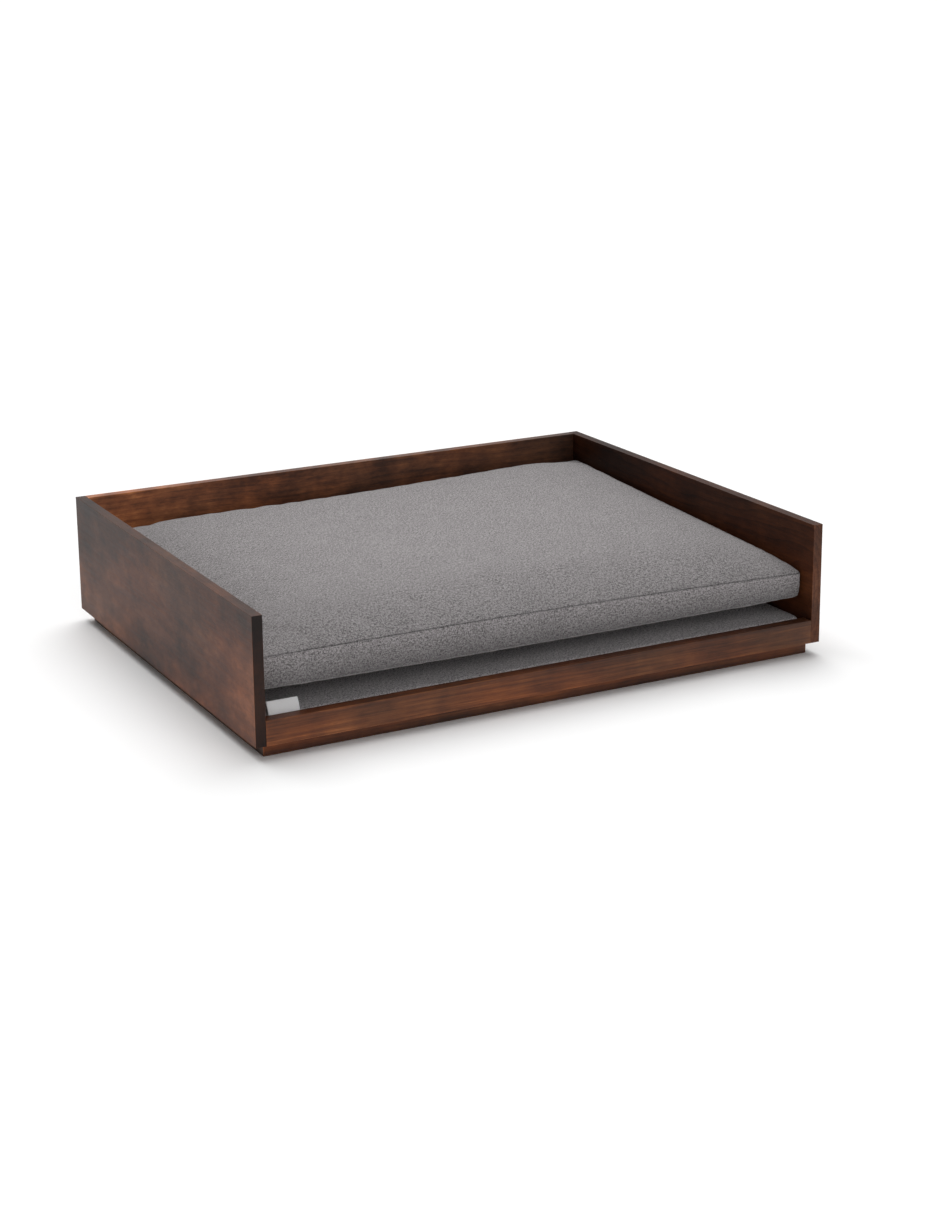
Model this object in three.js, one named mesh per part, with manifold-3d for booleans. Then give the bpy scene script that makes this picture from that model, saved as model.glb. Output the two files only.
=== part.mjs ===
// A dog bed: a low wooden tray on a recessed plinth, an upholstered base panel that lies in the tray,
// and a thick boxed cushion that lies on the panel. Lengths are in millimetres.
// +X is the bed's right as seen from the front, +Y is towards the back and +Z is up.
// The origin is at the middle of the plinth's underside, where the bed stands.

import * as THREE from 'three';
import { mergeVertices } from 'three/addons/utils/BufferGeometryUtils.js';
import Module from 'manifold-3d';

const wasm = await Module();
wasm.setup();

// ---- Driving dimensions ----

const WIDTH = 900;
const DEPTH = 700;
const BOARD_HEIGHT = 180;
const BOARD_THICKNESS = 15;
const RAIL_HEIGHT = 35;
const RAIL_THICKNESS = 18;
const DECK_THICKNESS = 12;

const PLINTH_HEIGHT = 18; // how far the boards stand off the floor
const PLINTH_SIDE_INSET = 15;
const PLINTH_FRONT_INSET = 12;
const BATTEN_WIDTH = 40;
const CROSS_BATTEN_SPACING = 290;

const DOWEL_DIAMETER = 8;
const DOWEL_LENGTH = 30;
const DOWEL_IN_BOARD = 9; // depth of a corner dowel's hole in the side board
const RAIL_DOWEL_RISE = 4; // above the rail's middle
const EDGE_DOWEL_DIAMETER = 6;
const EDGE_DOWEL_LENGTH = 24;
const EDGE_DOWEL_IN_BOARD = 8;
const EDGE_DOWEL_SPACING = WIDTH * 0.56; // along the front and back edges
const DOWEL_CHAMFER = 1;
const SCREW_LENGTH = 25;
const SCREW_SHANK_RADIUS = 1.75;
const SCREW_HEAD_RADIUS = 3.6;
const SCREW_RIM = 0.5;
const SCREW_POINT = 4;
const SCREW_RECESS = 0.5; // depth of the head below the batten's underside
const SCREW_SPACING = WIDTH * 0.42; // along the front and back battens

const PANEL_CLEARANCE = 3; // on each side, between the panel and the tray
const PANEL_BOARD_THICKNESS = 9;
const PANEL_CORNER_RADIUS = 10;
const PANEL_EDGE_RADIUS = 4;
const PANEL_HEM = 40; // cover turned under the panel
const PANEL_INNER_EDGE_RADIUS = 2.5; // of the board and the foam
const FABRIC = 1.2;

const TAG_WIDTH = 45;
const TAG_HEIGHT = 19;
const TAG_ROOT = 8; // sewn down in front of the panel
const TAG_THICKNESS = 1;
const TAG_LEAN = THREE.MathUtils.degToRad(24);
const TAG_FROM_LEFT_BOARD = 12;
const TAG_FOLD = 1; // below the panel's top, where the tag starts to lean

const CUSHION_SIDE_CLEARANCE = 3.5; // from the seams to the side boards
const CUSHION_FRONT = -327; // the front seam's place in Y
const CUSHION_BACK = 319; // the back seam's place in Y
const CUSHION_CORNER_RADIUS = 5;
const CUSHION_COVER = 1.5;
const BOXING_BULGE = 2;
const TOP_SEAM = { frontLeft: 132, frontRight: 120, backLeft: 142, backRight: 156 }; // heights in Z
const BOTTOM_SEAM = { frontLeft: 86, frontRight: 83, backLeft: 84, backRight: 92 };
const BOTTOM_SEAM_SAG = 3; // halfway between two corners
const TOP_SEAM_LEAN = 2.2; // above 1: the front seam changes height mostly towards the right
const TOP_SEAM_RISE = 0.55; // below 1: it rises fastest near the front
const TOP_CROWN = 27;
const BOTTOM_CROWN = 42;
const TOP_SQUARENESS = 8; // the higher, the sooner the surface levels off inside its seam
const BOTTOM_SQUARENESS = 2.6;

const ZIP_LENGTH = 600;
const ZIP_HEIGHT = 110; // the zip's line in Z
const ZIP_TAPE_WIDTH = 8;
const ZIP_CHAIN_WIDTH = 5;
const ZIP_CHAIN_THICKNESS = 1.8;
const ZIP_END_CLEARANCE = 5; // from the zip's end to the boxing round it
const ZIP_STOP_LENGTH = 3;
const ZIP_STOP_FROM_END = 1;
const ZIP_STOP_THICKNESS = 0.8;
const ZIP_SLIDER_LENGTH = 12;
const ZIP_SLIDER_THICKNESS = 1.2;
const ZIP_FLANGE = 1.4; // of the stops and the slider, beside the chain
const ZIP_BRIDGE_LENGTH = 9;
const ZIP_BRIDGE_RISE = 3.2;
const ZIP_BRIDGE_BAR = 1.3;
const ZIP_SLIDER_TO_STOP = 0.5;

const GAP = 0.3; // left between pieces that touch
const SEGMENTS = 12; // round a dowel, a screw or their holes

// ---- Places worked out from them ----

const boardBottom = PLINTH_HEIGHT;
const boardTop = boardBottom + BOARD_HEIGHT;
const right = WIDTH / 2;
const back = DEPTH / 2;
const front = -back;
const trayRight = right - BOARD_THICKNESS;
const trayBack = back - BOARD_THICKNESS;
const trayFront = front + RAIL_THICKNESS;
const railTop = boardBottom + RAIL_HEIGHT;
const deckTop = boardBottom + DECK_THICKNESS;
const battenTop = PLINTH_HEIGHT - GAP;
const plinthRight = right - PLINTH_SIDE_INSET;
const plinthFront = front + PLINTH_FRONT_INSET;
const plinthBack = back - PLINTH_SIDE_INSET;
const panelBottom = deckTop + GAP;
const panelTop = railTop;
const panelFront = trayFront + PANEL_CLEARANCE;
const cushionHalfWidth = trayRight - CUSHION_SIDE_CLEARANCE;
const cushionHalfDepth = (CUSHION_BACK - CUSHION_FRONT) / 2;
const cushionMiddle = (CUSHION_BACK + CUSHION_FRONT) / 2;
const cushionRest = panelTop + GAP;

// ---- Materials ----

const walnut = new THREE.MeshStandardMaterial({ color: 0x5f4232, roughness: 0.45, metalness: 0 });
const plywood = new THREE.MeshStandardMaterial({ color: 0xb5905f, roughness: 0.7, metalness: 0 });
const beech = new THREE.MeshStandardMaterial({ color: 0xc79f6d, roughness: 0.6, metalness: 0 });
const steel = new THREE.MeshStandardMaterial({ color: 0xb9b9b4, roughness: 0.35, metalness: 1 });
const greyFabric = new THREE.MeshStandardMaterial({ color: 0x8c8785, roughness: 0.9, metalness: 0 });
const foam = new THREE.MeshStandardMaterial({ color: 0xe6dfc8, roughness: 0.95, metalness: 0 });
const whiteTape = new THREE.MeshStandardMaterial({ color: 0xe8e9ea, roughness: 0.8, metalness: 0 });
const greyTape = new THREE.MeshStandardMaterial({ color: 0x55524f, roughness: 0.8, metalness: 0 });

// ---- Solids: joining and cutting ----

function solidOf(geometry) {
  const bare = new THREE.BufferGeometry();
  bare.setAttribute('position', geometry.getAttribute('position'));
  bare.setIndex(geometry.index);
  const merged = mergeVertices(bare, 1e-3);
  return new wasm.Manifold(new wasm.Mesh({
    numProp: 3,
    vertProperties: merged.attributes.position.array,
    triVerts: new Uint32Array(merged.index.array),
  }));
}

function geometryOf(solid) {
  const mesh = solid.getMesh();
  const geometry = new THREE.BufferGeometry();
  geometry.setAttribute('position', new THREE.BufferAttribute(new Float32Array(mesh.vertProperties), 3));
  geometry.setIndex(new THREE.BufferAttribute(new Uint32Array(mesh.triVerts), 1));
  return geometry;
}

function cut(geometry, tools) {
  return geometryOf(tools.reduce((left, tool) => left.subtract(solidOf(tool)), solidOf(geometry)));
}

function join(...geometries) {
  return geometryOf(geometries.map(solidOf).reduce((whole, next) => whole.add(next)));
}

// ---- Plain shapes ----

function block([x0, x1], [y0, y1], [z0, z1]) {
  const geometry = new THREE.BoxGeometry(x1 - x0, y1 - y0, z1 - z0);
  return geometry.translate((x0 + x1) / 2, (y0 + y1) / 2, (z0 + z1) / 2);
}

// A body of revolution whose [radius, height] profile starts and ends on the axis, standing along +Z.
function turned(profile) {
  const points = profile.map(([radius, height]) => new THREE.Vector2(radius, height));
  return new THREE.LatheGeometry(points, SEGMENTS).rotateX(Math.PI / 2);
}

// A round bar centred on the origin along +Z.
function rod(radius, length) {
  return turned([[0, -length / 2], [radius, -length / 2], [radius, length / 2], [0, length / 2]]);
}

// A slab with rounded corners in plan and rounded edges, from z0 to z1.
function roundedSlab([x0, x1], [y0, y1], [z0, z1], cornerRadius, edgeRadius) {
  const halfWidth = (x1 - x0) / 2 - edgeRadius;
  const halfDepth = (y1 - y0) / 2 - edgeRadius;
  const radius = Math.max(cornerRadius - edgeRadius, 0.5);
  const shape = new THREE.Shape();
  shape.absarc(halfWidth - radius, halfDepth - radius, radius, 0, Math.PI / 2);
  shape.absarc(radius - halfWidth, halfDepth - radius, radius, Math.PI / 2, Math.PI);
  shape.absarc(radius - halfWidth, radius - halfDepth, radius, Math.PI, 1.5 * Math.PI);
  shape.absarc(halfWidth - radius, radius - halfDepth, radius, 1.5 * Math.PI, 2 * Math.PI);
  const geometry = new THREE.ExtrudeGeometry(shape, {
    depth: z1 - z0 - 2 * edgeRadius,
    bevelThickness: edgeRadius,
    bevelSize: edgeRadius,
    bevelSegments: 2,
    curveSegments: 3,
  });
  return geometry.translate((x0 + x1) / 2, (y0 + y1) / 2, z0 + edgeRadius);
}

// An outline given as [y, z] points, extruded along X from x0 to x1.
function extrudedAlongX(outline, x0, x1) {
  const shape = new THREE.Shape(outline.map(([y, z]) => new THREE.Vector2(y, z)));
  const geometry = new THREE.ExtrudeGeometry(shape, { depth: x1 - x0, bevelEnabled: false });
  const yzToFrame = new THREE.Matrix4().makeBasis(
    new THREE.Vector3(0, 1, 0),
    new THREE.Vector3(0, 0, 1),
    new THREE.Vector3(1, 0, 0),
  );
  return geometry.applyMatrix4(yzToFrame).translate(x0, 0, 0);
}

// ---- Fasteners ----

// A dowel with chamfered ends, centred on the origin along +Z.
function dowel(diameter, length) {
  const radius = diameter / 2;
  const half = length / 2;
  return turned([
    [0, -half],
    [radius - DOWEL_CHAMFER, -half],
    [radius, DOWEL_CHAMFER - half],
    [radius, half - DOWEL_CHAMFER],
    [radius - DOWEL_CHAMFER, half],
    [0, half],
  ]);
}

// The round hole that a dowel sits in.
function dowelHole(diameter, length) {
  return rod(diameter / 2 + GAP, length + 2 * GAP);
}

// A countersunk screw, point up, with its head's flat face at height 0, grown all round by a clearance.
function screw(clearance = 0) {
  const headRadius = SCREW_HEAD_RADIUS + clearance;
  const shankRadius = SCREW_SHANK_RADIUS + clearance;
  const headDepth = SCREW_RIM + SCREW_HEAD_RADIUS - SCREW_SHANK_RADIUS + clearance;
  const underside = clearance > 0 ? -2 * SCREW_RECESS : 0; // the countersink runs out through the face
  return turned([
    [0, underside],
    [headRadius, underside],
    [headRadius, SCREW_RIM],
    [shankRadius, headDepth],
    [shankRadius, SCREW_LENGTH - SCREW_POINT],
    [0, SCREW_LENGTH + clearance],
  ]);
}

// Where each dowel lies: its middle, and the axis it lies along.
const dowelShift = DOWEL_LENGTH / 2 - DOWEL_IN_BOARD;
const edgeDowelShift = EDGE_DOWEL_LENGTH / 2 - EDGE_DOWEL_IN_BOARD;
const deckMiddle = boardBottom + DECK_THICKNESS / 2;
const cornerDowels = [];
const edgeDowels = [];
for (const [side, sign] of [['left', -1], ['right', 1]]) {
  const cornerX = sign * (trayRight - dowelShift);
  const backBoardMiddle = trayBack + BOARD_THICKNESS / 2;
  ['lower', 'middle', 'upper'].forEach((level, i) => {
    const z = boardBottom + BOARD_HEIGHT * (1 + 2 * i) / 6;
    const at = [cornerX, backBoardMiddle, z];
    cornerDowels.push({ name: `dowel_back_${side}_${level}`, at, along: 'x' });
  });
  const railDowelZ = boardBottom + RAIL_HEIGHT / 2 + RAIL_DOWEL_RISE;
  const railDowelAt = [cornerX, front + RAIL_THICKNESS / 2, railDowelZ];
  cornerDowels.push({ name: `dowel_rail_${side}`, at: railDowelAt, along: 'x' });

  const sideEdgeX = sign * (trayRight - edgeDowelShift);
  const endEdgeX = sign * EDGE_DOWEL_SPACING / 2;
  for (const [place, direction] of [['front', -1], ['back', 1]]) {
    const endEdgeY = direction < 0 ? trayFront + edgeDowelShift : trayBack - edgeDowelShift;
    const sideAt = [sideEdgeX, direction * DEPTH / 4, deckMiddle];
    const endAt = [endEdgeX, endEdgeY, deckMiddle];
    edgeDowels.push({ name: `deck_dowel_${side}_${place}`, at: sideAt, along: 'x' });
    edgeDowels.push({ name: `deck_dowel_${place}_${side}`, at: endAt, along: 'y' });
  }
}

// Where each screw goes up through a batten into the deck.
const screws = [];
const battenMiddleX = plinthRight - BATTEN_WIDTH / 2;
const frontBattenY = plinthFront + BATTEN_WIDTH / 2;
const backBattenY = plinthBack - BATTEN_WIDTH / 2;
[['left', -1], ['middle', 0], ['right', 1]].forEach(([place, sign]) => {
  const x = sign * SCREW_SPACING;
  screws.push({ name: `screw_front_${place}`, at: [x, frontBattenY] });
  screws.push({ name: `screw_back_${place}`, at: [x, backBattenY] });
});
for (const [side, sign] of [['left', -1], ['right', 1]]) {
  for (const [place, y] of [['front', -DEPTH / 6], ['back', DEPTH / 6]]) {
    screws.push({ name: `screw_${side}_${place}`, at: [sign * battenMiddleX, y] });
    screws.push({ name: `screw_cross_${side}_${place}`, at: [sign * CROSS_BATTEN_SPACING / 2, y] });
  }
}

function lay(geometry, { at, along }) {
  if (along === 'x') geometry.rotateY(Math.PI / 2);
  if (along === 'y') geometry.rotateX(Math.PI / 2);
  return geometry.translate(...at);
}

const dowelHoles = [
  ...cornerDowels.map((place) => lay(dowelHole(DOWEL_DIAMETER, DOWEL_LENGTH), place)),
  ...edgeDowels.map((place) => lay(dowelHole(EDGE_DOWEL_DIAMETER, EDGE_DOWEL_LENGTH), place)),
];
const battenHoles = screws.map(({ at: [x, y] }) => screw(GAP).translate(x, y, SCREW_RECESS));
const pilotDepth = SCREW_LENGTH + GAP;
const pilotHoles = screws.map(({ at: [x, y] }) => (
  rod(SCREW_SHANK_RADIUS + GAP, pilotDepth).translate(x, y, SCREW_RECESS + pilotDepth / 2)
));

// ---- The bed as a scene of named meshes ----

const bed = new THREE.Group();
bed.name = 'dog_bed';

function add(name, geometry, material) {
  const mesh = new THREE.Mesh(geometry, material.clone());
  mesh.name = name;
  bed.add(mesh);
}

function addTray() {
  const boardLevels = [boardBottom, boardTop];
  const between = [GAP - trayRight, trayRight - GAP];
  const walls = {
    left_side_board: block([-right, -trayRight], [front, back], boardLevels),
    right_side_board: block([trayRight, right], [front, back], boardLevels),
    back_board: block(between, [trayBack, back], boardLevels),
    front_rail: block(between, [front, trayFront], [boardBottom, railTop]),
  };
  for (const [name, geometry] of Object.entries(walls)) add(name, cut(geometry, dowelHoles), walnut);
  const deck = block(between, [trayFront + GAP, trayBack - GAP], [boardBottom, deckTop]);
  add('deck_board', cut(deck, [...dowelHoles, ...pilotHoles]), plywood);
}

function addPlinth() {
  const levels = [0, battenTop];
  const full = [-plinthRight, plinthRight];
  const between = [plinthFront + BATTEN_WIDTH + GAP, plinthBack - BATTEN_WIDTH - GAP];
  const cross = CROSS_BATTEN_SPACING / 2;
  const half = BATTEN_WIDTH / 2;
  const battens = {
    plinth_front_batten: block(full, [plinthFront, plinthFront + BATTEN_WIDTH], levels),
    plinth_back_batten: block(full, [plinthBack - BATTEN_WIDTH, plinthBack], levels),
    plinth_left_batten: block([-plinthRight, BATTEN_WIDTH - plinthRight], between, levels),
    plinth_right_batten: block([plinthRight - BATTEN_WIDTH, plinthRight], between, levels),
    cross_batten_left: block([-cross - half, half - cross], between, levels),
    cross_batten_right: block([cross - half, cross + half], between, levels),
  };
  for (const [name, geometry] of Object.entries(battens)) add(name, cut(geometry, battenHoles), walnut);
}

function addFasteners() {
  for (const place of cornerDowels) {
    add(place.name, lay(dowel(DOWEL_DIAMETER, DOWEL_LENGTH), place), beech);
  }
  for (const place of edgeDowels) {
    add(place.name, lay(dowel(EDGE_DOWEL_DIAMETER, EDGE_DOWEL_LENGTH), place), beech);
  }
  for (const { name, at: [x, y] } of screws) {
    add(name, screw().translate(x, y, SCREW_RECESS), steel);
  }
}

// A slab inside the panel, its sides `inset` in from the panel's outline.
function panelSlab(inset, levels, edgeRadius) {
  return roundedSlab(
    [PANEL_CLEARANCE - trayRight + inset, trayRight - PANEL_CLEARANCE - inset],
    [panelFront + inset, trayBack - PANEL_CLEARANCE - inset],
    levels,
    Math.max(PANEL_CORNER_RADIUS - inset, 1),
    edgeRadius,
  );
}

function addBasePanel() {
  const inner = FABRIC + GAP;
  const boardLevels = [panelBottom + inner, panelBottom + inner + PANEL_BOARD_THICKNESS];
  const foamLevels = [boardLevels[1] + GAP, panelTop - inner];
  add('panel_board', panelSlab(inner, boardLevels, PANEL_INNER_EDGE_RADIUS), plywood);
  add('panel_foam', panelSlab(inner, foamLevels, PANEL_INNER_EDGE_RADIUS), foam);
  const outside = panelSlab(0, [panelBottom, panelTop], PANEL_EDGE_RADIUS);
  const inside = panelSlab(FABRIC, [panelBottom + FABRIC, panelTop - FABRIC], PANEL_EDGE_RADIUS - FABRIC);
  const opening = panelSlab(PANEL_HEM, [panelBottom - FABRIC, panelBottom + 2 * FABRIC], FABRIC / 2);
  add('panel_cover', cut(outside, [inside, opening]), greyFabric);
}

// A blank folded tag, sewn in front of the panel, that leans back over the panel's edge.
function addTag() {
  const y = trayFront + 2 * GAP + TAG_THICKNESS / 2;
  const foldZ = panelTop - TAG_FOLD;
  const lean = { y: Math.sin(TAG_LEAN), z: Math.cos(TAG_LEAN) };
  const half = TAG_THICKNESS / 2;
  const tip = [y + TAG_HEIGHT * lean.y, foldZ + TAG_HEIGHT * lean.z];
  const outline = [
    [y - half, foldZ - TAG_ROOT],
    [y + half, foldZ - TAG_ROOT],
    [y + half, foldZ],
    [tip[0] + half * lean.z, tip[1] - half * lean.y],
    [tip[0] - half * lean.z, tip[1] + half * lean.y],
    [y - half, foldZ],
  ];
  const x0 = TAG_FROM_LEFT_BOARD - trayRight;
  add('blank_tag', extrudedAlongX(outline, x0, x0 + TAG_WIDTH), whiteTape);
}

// ---- The cushion ----

// The share of the way across, from 0 at the left to 1 at the right, and the same from front to back.
function shares(x, y) {
  return [
    THREE.MathUtils.clamp((x / cushionHalfWidth + 1) / 2, 0, 1),
    THREE.MathUtils.clamp(((y - cushionMiddle) / cushionHalfDepth + 1) / 2, 0, 1),
  ];
}

// 0 at the seams and 1 in the middle.
function dome(x, y, squareness) {
  const [u, v] = shares(x, y).map((share) => Math.abs(2 * share - 1));
  return (1 - u ** squareness) * (1 - v ** squareness);
}

function topSeam(x, y) {
  const [u, v] = shares(x, y);
  const atFront = THREE.MathUtils.lerp(TOP_SEAM.frontLeft, TOP_SEAM.frontRight, u ** TOP_SEAM_LEAN);
  const atBack = THREE.MathUtils.lerp(TOP_SEAM.backLeft, TOP_SEAM.backRight, u);
  return THREE.MathUtils.lerp(atFront, atBack, v ** TOP_SEAM_RISE);
}

function bottomSeam(x, y) {
  const [u, v] = shares(x, y);
  const atFront = THREE.MathUtils.lerp(BOTTOM_SEAM.frontLeft, BOTTOM_SEAM.frontRight, u);
  const atBack = THREE.MathUtils.lerp(BOTTOM_SEAM.backLeft, BOTTOM_SEAM.backRight, u);
  const sag = BOTTOM_SEAM_SAG * (1 - ((2 * u - 1) * (2 * v - 1)) ** 2);
  return THREE.MathUtils.lerp(atFront, atBack, v) - sag;
}

function cushionTop(x, y) {
  return topSeam(x, y) + TOP_CROWN * dome(x, y, TOP_SQUARENESS);
}

// The underside is crowned too, and is flat where it rests on the panel.
function cushionUnderside(x, y) {
  return Math.max(bottomSeam(x, y) - BOTTOM_CROWN * dome(x, y, BOTTOM_SQUARENESS), cushionRest);
}

// One side of the cushion's outline, from the middle of one corner to the middle of the next.
// Sides 0 to 3 are front, right, back and left. Each point has its place and its outward direction.
function sidePath(side, trim = 0) {
  const along = [[1, 0], [0, 1], [-1, 0], [0, -1]][side];
  const outward = [[0, -1], [1, 0], [0, 1], [-1, 0]][side];
  const half = side % 2 ? cushionHalfDepth : cushionHalfWidth; // of this side's length
  const reach = side % 2 ? cushionHalfWidth : cushionHalfDepth; // from the middle out to this side
  const radius = CUSHION_CORNER_RADIUS;
  const corner = half - radius;
  const straightSteps = 7;
  const arcSteps = 2;
  const local = [];
  for (let i = 0; i <= arcSteps; i++) {
    const angle = THREE.MathUtils.lerp(0.75 * Math.PI - trim, 0.5 * Math.PI, i / arcSteps);
    local.push([-corner, angle]);
  }
  for (let i = 1; i < straightSteps; i++) {
    local.push([THREE.MathUtils.lerp(-corner, corner, i / straightSteps), 0.5 * Math.PI]);
  }
  for (let i = 0; i <= arcSteps; i++) {
    const angle = THREE.MathUtils.lerp(0.5 * Math.PI, 0.25 * Math.PI + trim, i / arcSteps);
    local.push([corner, angle]);
  }
  return local.map(([centre, angle]) => {
    const [ds, dn] = [Math.cos(angle), Math.sin(angle)];
    const s = centre + radius * ds;
    const n = reach - radius + radius * dn;
    return {
      x: s * along[0] + n * outward[0],
      y: cushionMiddle + s * along[1] + n * outward[1],
      nx: ds * along[0] + dn * outward[0],
      ny: ds * along[1] + dn * outward[1],
      facing: dn, // 1 on the straight, less round the corners
    };
  });
}

function wholeOutline() {
  return [0, 1, 2, 3].flatMap((side) => sidePath(side).slice(0, -1));
}

// The cushion's outline shrinks to its middle in rings. The filling leaves out the outermost ring,
// so it stays inside the boxing, and the layers nest because their corners lie over each other.
const coverRings = [1, 0.994, 0.97, 0.93, 0.87, 0.75, 0.45];
const fillingRings = coverRings.slice(1);

// A closed solid between two height fields.
function pillow(ringShares, topAt, bottomAt) {
  const outline = wholeOutline();
  const count = outline.length;
  const positions = [];
  const triangles = [];
  const addSurface = (heightAt, facesUp) => {
    const start = positions.length / 3;
    for (const share of ringShares) {
      for (const point of outline) {
        const x = point.x * share;
        const y = cushionMiddle + (point.y - cushionMiddle) * share;
        positions.push(x, y, heightAt(x, y));
      }
    }
    const centre = positions.length / 3;
    positions.push(0, cushionMiddle, heightAt(0, cushionMiddle));
    const face = (a, b, c) => triangles.push(...(facesUp ? [a, b, c] : [a, c, b]));
    for (let ring = 0; ring < ringShares.length; ring++) {
      for (let i = 0; i < count; i++) {
        const next = (i + 1) % count;
        const [a, b] = [start + ring * count + i, start + ring * count + next];
        if (ring === ringShares.length - 1) {
          face(a, b, centre);
        } else {
          face(a, b, b + count);
          face(a, b + count, a + count);
        }
      }
    }
    return start;
  };
  const top = addSurface(topAt, true);
  const bottom = addSurface(bottomAt, false);
  for (let i = 0; i < count; i++) {
    const next = (i + 1) % count;
    triangles.push(bottom + i, bottom + next, top + next);
    triangles.push(bottom + i, top + next, top + i);
  }
  return indexed(positions, triangles);
}

function indexed(positions, triangles) {
  const geometry = new THREE.BufferGeometry();
  geometry.setAttribute('position', new THREE.Float32BufferAttribute(positions, 3));
  geometry.setIndex(triangles);
  return geometry;
}

// A strip of boxing along one side: it stands between the two seams and bulges outwards halfway up.
function boxing(side, bulge) {
  const trim = GAP / CUSHION_CORNER_RADIUS;
  const rows = bulge > 0 ? 4 : 2;
  const edge = CUSHION_COVER + GAP;
  const positions = [];
  const triangles = [];
  const path = sidePath(side, trim);
  const loop = 2 * (rows + 1);
  for (const { x, y, nx, ny, facing } of path) {
    const low = bottomSeam(x, y) + edge;
    const high = topSeam(x, y) - edge;
    const at = (row, inward) => {
      const share = row / rows;
      const out = bulge * facing ** 4 * 4 * share * (1 - share) - inward;
      positions.push(x + nx * out, y + ny * out, THREE.MathUtils.lerp(low, high, share));
    };
    for (let row = 0; row <= rows; row++) at(row, 0);
    for (let row = rows; row >= 0; row--) at(row, CUSHION_COVER);
  }
  for (let i = 0; i + 1 < path.length; i++) {
    for (let j = 0; j < loop; j++) {
      const next = (j + 1) % loop;
      const [a, b, c, d] = [i * loop + j, i * loop + next, (i + 1) * loop + next, (i + 1) * loop + j];
      triangles.push(a, c, b, a, d, c);
    }
  }
  const last = (path.length - 1) * loop;
  for (let row = 0; row < rows; row++) {
    const [a, b, c, d] = [row, row + 1, loop - 2 - row, loop - 1 - row];
    triangles.push(a, b, c, a, c, d);
    triangles.push(last + a, last + c, last + b, last + a, last + d, last + c);
  }
  return indexed(positions, triangles);
}

function addCushion() {
  const layer = CUSHION_COVER;
  const inner = layer + GAP;
  const lifted = (heightAt, rise) => (x, y) => heightAt(x, y) + rise;
  const topCover = pillow(coverRings, cushionTop, lifted(cushionTop, -layer));
  const bottomCover = pillow(coverRings, lifted(cushionUnderside, layer), cushionUnderside);
  const filling = pillow(fillingRings, lifted(cushionTop, -inner), lifted(cushionUnderside, inner));
  add('cushion_top_cover', topCover, greyFabric);
  add('cushion_bottom_cover', bottomCover, greyFabric);
  add('cushion_filling', filling, foam);
  add('boxing_front', boxing(0, BOXING_BULGE), greyFabric);
  add('boxing_right', boxing(1, BOXING_BULGE), greyFabric);
  add('boxing_left', boxing(3, BOXING_BULGE), greyFabric);

  // The back boxing is two strips with the zip between them.
  const whole = boxing(2, 0);
  const halfSlot = ZIP_LENGTH / 2 + ZIP_END_CLEARANCE;
  const halfTape = ZIP_TAPE_WIDTH / 2 + GAP;
  const backHalf = [cushionMiddle, back];
  const zipSlot = block([-halfSlot, halfSlot], backHalf, [ZIP_HEIGHT - halfTape, ZIP_HEIGHT + halfTape]);
  const below = block([-right, right], backHalf, [0, ZIP_HEIGHT + GAP / 2]);
  const above = block([-right, right], backHalf, [ZIP_HEIGHT - GAP / 2, boardTop]);
  add('boxing_back_upper', cut(whole, [below, zipSlot]), greyFabric);
  add('boxing_back_lower', cut(whole, [above, zipSlot]), greyFabric);
}

// A channel that straddles the zip's chain: two flanges that point at the tape, and a web across them.
function saddle(length, webThickness) {
  const tapeFace = CUSHION_BACK - GAP / 2;
  const chainFace = tapeFace + ZIP_CHAIN_THICKNESS;
  const innerHalf = ZIP_CHAIN_WIDTH / 2 + GAP;
  const outerHalf = innerHalf + ZIP_FLANGE;
  const outline = [
    [tapeFace + GAP, -outerHalf],
    [chainFace + GAP + webThickness, -outerHalf],
    [chainFace + GAP + webThickness, outerHalf],
    [tapeFace + GAP, outerHalf],
    [tapeFace + GAP, innerHalf],
    [chainFace + GAP, innerHalf],
    [chainFace + GAP, -innerHalf],
    [tapeFace + GAP, -innerHalf],
  ];
  return extrudedAlongX(outline, -length / 2, length / 2).translate(0, 0, ZIP_HEIGHT);
}

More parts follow.
